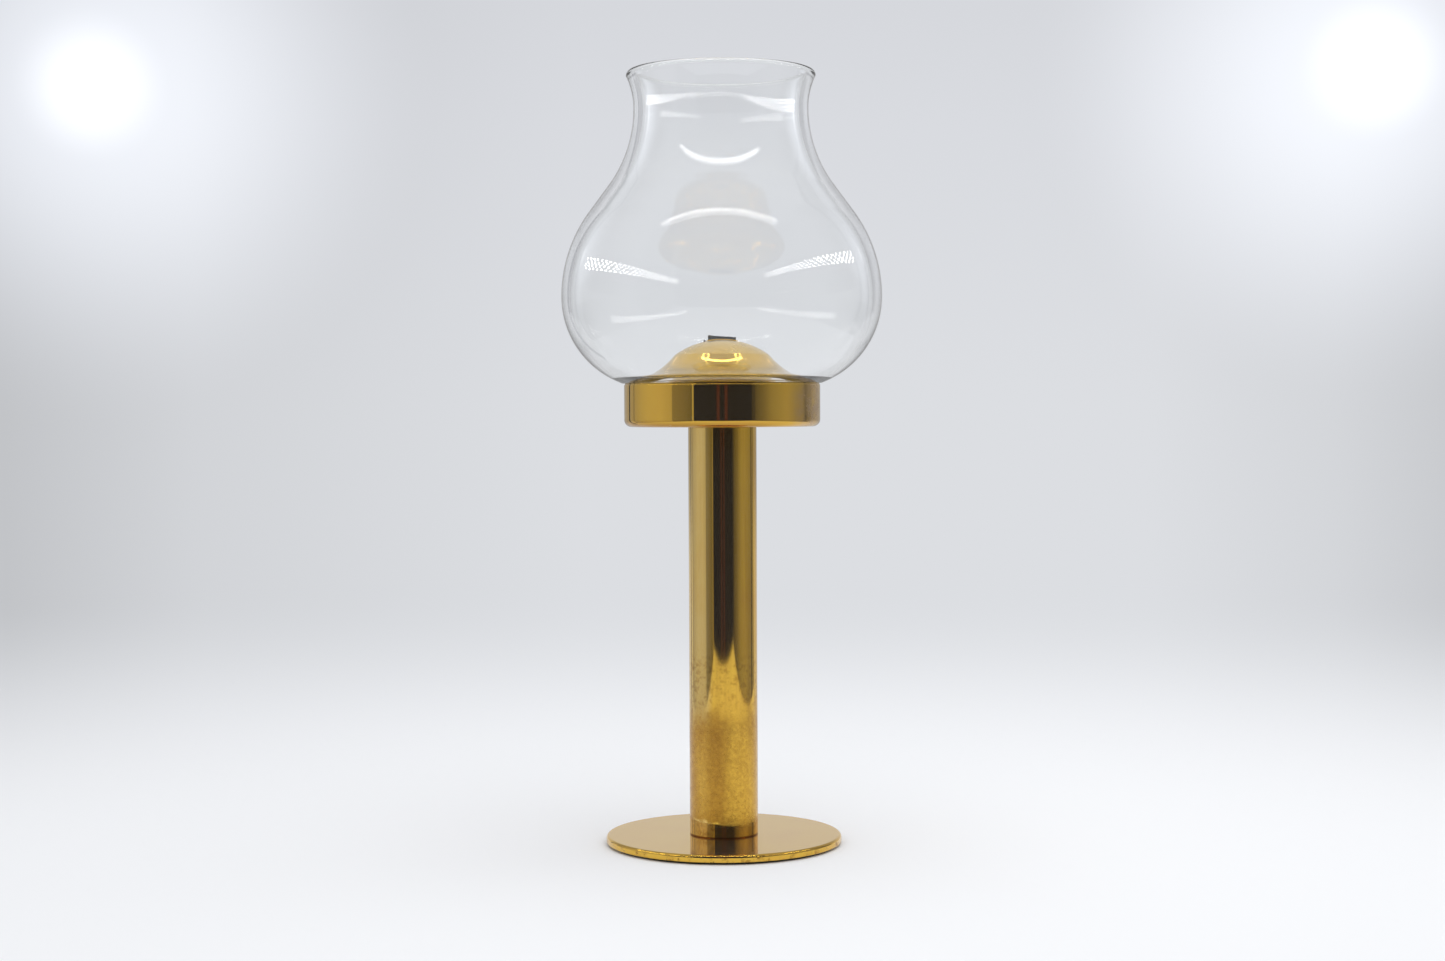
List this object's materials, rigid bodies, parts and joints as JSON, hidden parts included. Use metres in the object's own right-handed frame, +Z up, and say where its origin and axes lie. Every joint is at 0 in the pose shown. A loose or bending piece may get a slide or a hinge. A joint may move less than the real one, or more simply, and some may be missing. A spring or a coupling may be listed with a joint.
{
  "type": "oil lamp",
  "caption": "Table oil lamp: disc foot, tubular stem, cup, lift-out font with a flat wick burner under a domed cap, and a loose glass shade.",
  "frame": {"origin": "middle of the felt's underside, on the lamp's axis", "axes": "+Z up along the lamp's axis, through the wick; +X along the wick's width"},
  "size_m": [0.1354, 0.1354, 0.327],
  "materials": {
    "felt": "dense dark felt",
    "base_brass": "polished, fine scratches, worn and pitted edge",
    "stem_brass": "polished above, mottled satin patina in the lower third",
    "cup_brass": "polished, tarnished on one side",
    "font_brass": "polished, hazy flare",
    "cap_brass": "polished, hazed by heat",
    "turned_brass": "as turned",
    "steel": "bright zinc plated",
    "wick_cotton": "woven cotton, charred black at the tip",
    "clear_glass": "clear blown glass, fire-polished rim, ground foot"
  },
  "bodies": {
    "stand": {"base_felt": "felt", "base_plate": "base_brass", "base_screw": "steel", "stem_foot_plug": "turned_brass", "stem_tube": "stem_brass", "stem_head_plug": "turned_brass", "cup_shell": "cup_brass", "cup_washer": "steel", "cup_screw": "steel"},
    "font": {"font_bowl": "font_brass", "font_top": "font_brass", "font_neck_ring": "turned_brass"},
    "burner": {"burner_cap": "cap_brass", "burner_sleeve": "turned_brass", "wick_tube": "turned_brass"},
    "wick": {"wick": "wick_cotton"},
    "shade": {"shade_glass": "clear_glass"}
  },
  "joints": [
    {"name": "font_lift", "type": "slide", "parent": "stand", "child": "font", "axis": [0, 0, 1], "range_m": [0, 0.04]},
    {"name": "burner_lift", "type": "slide", "parent": "font", "child": "burner", "axis": [0, 0, 1], "range_m": [0, 0.04]},
    {"name": "wick_raise", "type": "slide", "parent": "burner", "child": "wick", "axis": [0, 0, 1], "range_m": [-0.0015, 0.005]},
    {"name": "shade_lift", "type": "slide", "parent": "font", "child": "shade", "axis": [0, 0, 1], "range_m": [0, 0.08]}
  ]
}
